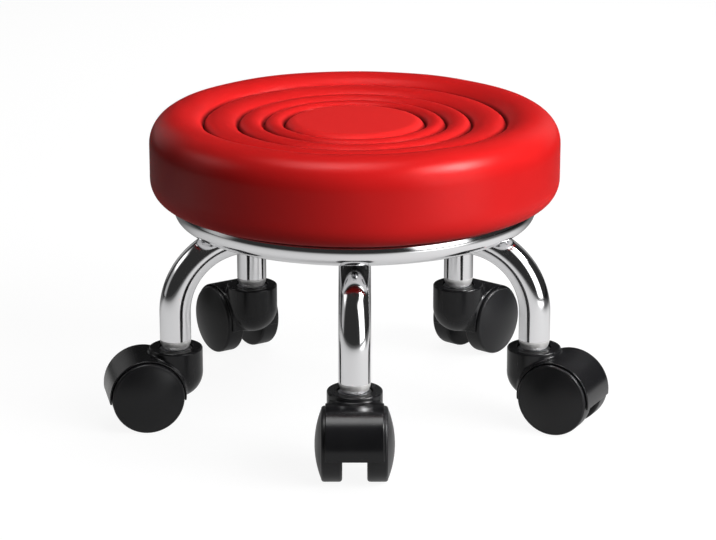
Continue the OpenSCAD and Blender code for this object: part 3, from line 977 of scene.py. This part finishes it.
# %% [markdown]
# The caster's body is one nylon moulding: a cup round the stem, a hood over the wheels
# and a web between them, with soft fillets where they meet. Moulded blends are hard to
# make with booleans and bevels. A signed distance is easier: each simple form has a
# formula for how far a point is from it, forms are joined by a smooth minimum, and
# pockets are cut by a smooth maximum, so every edge and every inner corner gets its
# radius. The surface is then read off a grid, and its points are slid onto the exact
# shape.

# %% Surface from a distance formula
def round_max(a, b, radius):
    """The larger of two distances, with a round edge of that radius where they meet."""
    corner = np.hypot(np.maximum(a + radius, 0), np.maximum(b + radius, 0))
    return np.minimum(np.maximum(a, b), -radius) + corner


def round_min(a, b, radius):
    """The smaller of two distances, with a round inner corner where they meet."""
    return -round_max(-a, -b, radius)


def surface_points(distance, low, high, step):
    """Points and four-sided faces on a distance's zero surface, read off a grid."""
    axes = [np.arange(a, b + step, step) for a, b in zip(low, high)]
    grid = np.stack(np.meshgrid(*axes, indexing="ij"), -1)
    field = distance(grid.reshape(-1, 3)).reshape(grid.shape[:3])
    inside = field < 0
    cells = tuple(n - 1 for n in inside.shape)
    total = np.zeros((*cells, 3))
    count = np.zeros(cells)
    for axis in range(3):
        a = np.moveaxis(field, axis, 0)
        crossed = (a[:-1] < 0) != (a[1:] < 0)
        share = np.where(crossed, a[:-1] / np.where(crossed, a[:-1] - a[1:], 1), 0)
        place = np.moveaxis(grid, axis, 0)[:-1] + share[..., None] * step * np.eye(3)[axis]
        crossed, place = np.moveaxis(crossed, 0, axis), np.moveaxis(place, 0, axis)
        others = [k for k in range(3) if k != axis]
        for shift in ((0, 0), (0, 1), (1, 0), (1, 1)):
            window = [slice(None)] * 3
            for k, s in zip(others, shift):
                window[k] = slice(s, s + cells[k])
            total += place[tuple(window)] * crossed[tuple(window)][..., None]
            count += crossed[tuple(window)]
    used = count > 0
    number = np.full(cells, -1)
    number[used] = np.arange(used.sum())
    points = total[used] / count[used][:, None]
    faces = []
    for axis in range(3):
        u, v = [(1, 2), (2, 0), (0, 1)][axis]
        span = [slice(1, n - 1) for n in inside.shape]
        span[axis] = slice(0, inside.shape[axis] - 1)
        nearer = inside[tuple(span)]
        ahead = list(span)
        ahead[axis] = slice(1, inside.shape[axis])
        farther = inside[tuple(ahead)]
        for flip, where in ((False, nearer & ~farther), (True, ~nearer & farther)):
            index = np.argwhere(where)
            index += [s.start for s in span]
            corners = []
            for du, dv in ((-1, -1), (0, -1), (0, 0), (-1, 0)):
                shifted = index.copy()
                shifted[:, u] += du
                shifted[:, v] += dv
                corners.append(number[tuple(shifted.T)])
            quads = np.stack(corners, 1)
            faces.append(quads[:, ::-1] if flip else quads)
    return slide_onto(distance, points), np.concatenate(faces)


def slope(distance, points, reach=1e-5):
    """The direction in which the distance grows, at each point."""
    parts = []
    for axis in range(3):
        offset = np.eye(3)[axis] * reach
        parts.append(distance(points + offset) - distance(points - offset))
    return np.stack(parts, 1) / (2 * reach)


def slide_onto(distance, points, steps=4, share=0.9, least_steepness=0.2):
    """Moves points near a surface onto it, along the slope of the distance."""
    for _ in range(steps):
        gradient = slope(distance, points)
        steepness = np.maximum((gradient ** 2).sum(1), least_steepness)
        points = points - gradient * (distance(points) / steepness)[:, None] * share
    return points


print("distance helpers ready")

# %% [markdown]
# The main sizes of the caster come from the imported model. The front caster's wheels
# trail straight along -Y, so its box gives the hood, the cup and the trail directly.
# Walls, edges and fillets are those of a common moulding.

# %% Caster sizes
CUP_EDGE = 1.4 * MM
HOOD_WALL = 1.2 * MM
HOOD_EDGE = 0.8 * MM
LIP_EDGE = 0.4 * MM
POCKET_EDGE = 0.35 * MM
MOULD_FILLET = 2.2 * MM
LIP_DROP = 3.5 * MM
BOSS_RADIUS = 8 * MM
WEB_HALF = 7.9 * MM
BORE_RADIUS = 5.55 * MM
BORE_DEPTH = 20 * MM
WELL_RADIUS = 6.8 * MM
WELL_TOP = 3.7 * MM
RECESS_RADIUS = 12.2 * MM
RECESS_DEPTH = 2.2 * MM
RECESS_EDGE = 0.5 * MM
SURFACE_STEP = 0.6 * MM

body_low, body_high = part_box("caster_front")
axle_low, axle_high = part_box("axle_front")
front_foot = Vector(swivels["front"]["pos_m"])
axle_height = (axle_low.z + axle_high.z) / 2
axle_radius = (axle_high.z - axle_low.z) / 2
trail = front_foot.y - (axle_low.y + axle_high.y) / 2
cup_radius = body_high.y - front_foot.y
cup_top = body_high.z
hood_radius = front_foot.y - body_low.y - trail
hood_half = body_high.x
dome_height = axle_height + cup_radius * 2 / 3
print("trail, mm:", round(trail * 1000, 1), "hood radius, mm:", round(hood_radius * 1000, 1))

# %% Caster surface
def caster_distance(points):
    """Distance to the caster body's surface. Its swivel axis is Z and it trails along +X."""
    x, y, z = points.T
    across = np.abs(y)
    from_stem = np.hypot(x, y)
    from_axle = np.hypot(x - trail, z - axle_height)
    ball = np.hypot(from_stem, np.minimum(z - dome_height, 0)) - cup_radius
    cup = round_max(ball, z - cup_top, CUP_EDGE)
    hood = round_max(from_axle - hood_radius, across - hood_half, HOOD_EDGE)
    hood = round_max(hood, axle_height - LIP_DROP - z, LIP_EDGE)
    boss = round_max(from_axle - BOSS_RADIUS, across - WEB_HALF, LIP_EDGE)
    body = round_min(round_min(cup, hood, MOULD_FILLET), boss, MOULD_FILLET)
    pocket = np.maximum(WEB_HALF - across, from_axle - hood_radius + HOOD_WALL)
    body = round_max(body, -pocket, POCKET_EDGE)
    recess = round_max(from_stem - RECESS_RADIUS, cup_top - RECESS_DEPTH - z, RECESS_EDGE)
    body = round_max(body, -recess, RECESS_EDGE)
    bore = np.maximum(from_stem - BORE_RADIUS, cup_top - BORE_DEPTH - z)
    well = np.maximum(from_stem - WELL_RADIUS, z - cup_top + BORE_DEPTH - WELL_TOP)
    body = np.maximum(body, -np.minimum(bore, well))
    return np.maximum(body, axle_radius - from_axle)


def trail_azimuth(name):
    """Which way a caster's wheels trail, from the places of its two joints."""
    foot = Vector(swivels[name]["pos_m"])
    roller = next(j for j in frame["joints"] if j["child"] == f"roller_{name}_a")
    offset = Vector(roller["pos_m"]) - foot
    return math.atan2(offset.y, offset.x)


def make_casters():
    margin = 2 * SURFACE_STEP
    low = (-cup_radius - margin, -hood_half - margin, axle_height - BOSS_RADIUS - margin)
    high = (trail + hood_radius + margin, hood_half + margin, cup_top + margin)
    points, faces = surface_points(caster_distance, low, high, SURFACE_STEP)
    normals = slope(caster_distance, points)
    normals /= np.linalg.norm(normals, axis=1, keepdims=True)
    for name in LEG_POSITIONS:
        turn = np.array(Matrix.Rotation(trail_azimuth(name), 3, "Z"))
        place = points @ turn.T + np.array([*swivels[name]["pos_m"][:2], 0])
        mesh = bpy.data.meshes.new(f"{name}_caster_body")
        mesh.from_pydata(place.tolist(), [], faces.tolist())
        mesh.shade_smooth()
        mesh.normals_split_custom_set_from_vertices((normals @ turn.T).tolist())
        mesh.materials.append(caster_black)
        body = bpy.data.objects.new(f"{name}_caster_body", mesh)
        bpy.context.scene.collection.objects.link(body)
        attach(body, f"swivel_{name}")
        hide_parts(f"caster_{name}")
    print("caster points:", len(points), "faces:", len(faces))


make_casters()

# %% [markdown]
# The wheels are turned shapes: a plain rounded tread, a plain domed outer face, and a
# flat inner face with a blind bore for the axle.

# %% Wheels
WHEEL_EDGE = 2 * MM
WHEEL_DOME = 4.5 * MM
BORE_CLEARANCE = 0.05 * MM


def wheel_outline():
    low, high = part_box("wheel_front_a")
    rim = (high.z - low.z) / 2
    inner = min(abs(low.x), abs(high.x))
    top = max(abs(low.x), abs(high.x))
    tread = top - WHEEL_DOME
    face = rim - WHEEL_EDGE
    dome = (face ** 2 + WHEEL_DOME ** 2) / (2 * WHEEL_DOME)
    line = []
    for k in range(24):
        radius = face * k / 24
        line.append((radius, top - dome + math.sqrt(dome ** 2 - radius ** 2)))
    line += arc(face, tread - WHEEL_EDGE, WHEEL_EDGE, 90, 0, 6)
    line += arc(face, inner + WHEEL_EDGE, WHEEL_EDGE, 0, -90, 6)
    bore = axle_radius + BORE_CLEARANCE
    axle_end = axle_high.x + BORE_CLEARANCE
    return line + [(bore, inner), (bore, axle_end), (0, axle_end)]


def make_wheels():
    outline = wheel_outline()
    for name in LEG_POSITIONS:
        foot = Vector(swivels[name]["pos_m"])
        turn = Matrix.Rotation(trail_azimuth(name), 4, "Z")
        axle = Matrix.Translation((foot.x, foot.y, 0)) @ turn @ Matrix.Translation((trail, 0, axle_height))
        for side, tilt in (("a", 90), ("b", -90)):
            wheel = turned(f"{name}_wheel_{side}", outline, 96, wheel_black)
            wheel.data.transform(axle @ Matrix.Rotation(math.radians(tilt), 4, "X"))
            smooth_with_edges(wheel)
            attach(wheel, f"roller_{name}_{side}")
            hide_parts(f"wheel_{name}_{side}")
    print("wheel faces:", len(wheel.data.polygons))


make_wheels()

# %% [markdown]
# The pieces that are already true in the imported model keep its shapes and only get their
# finish: board, dust cloth, staples, nuts, bolts, plate, hub, stems, washers and axles.

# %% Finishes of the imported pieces
def cloth_finish():
    finish = Finish("black_spunbond", roughness=0.95)
    place = finish.place()
    fibres = finish.noise(place, 1300, 3, 0.7)
    finish.set("Base Color", finish.mix(fibres, (0.006, 0.006, 0.007, 1), (0.016, 0.016, 0.017, 1)))
    finish.set("Roughness", 0.85 + fibres * 0.12)
    finish.set("Normal", finish.bump(fibres, 0.08 * MM, 0.6))
    return finish.material


PACKED_FINISHES = {
    "seat_board": plywood, "dust_cloth": cloth_finish(), "cover_staples": zinc, "tee_nuts": zinc,
    "seat_bolts": zinc, "seat_plate": enamel_finish(), "leg_hub": chrome, "stem": zinc,
    "stem_washers": zinc, "grip_rings": zinc, "stem_clips": zinc, "axle": zinc,
}


def finish_packed_pieces():
    count = 0
    for name, node in frame["nodes"].items():
        kind = name if name in PACKED_FINISHES else name.split("_")[0]
        if kind in PACKED_FINISHES:
            node.data.materials.clear()
            node.data.materials.append(PACKED_FINISHES[kind])
            count += 1
    print("packed pieces with a finish:", count)


finish_packed_pieces()

# %% [markdown]
# The picture uses the plain Standard view, so that a colour shows about as it is written.

# %% View
bpy.context.scene.view_settings.view_transform = "Standard"
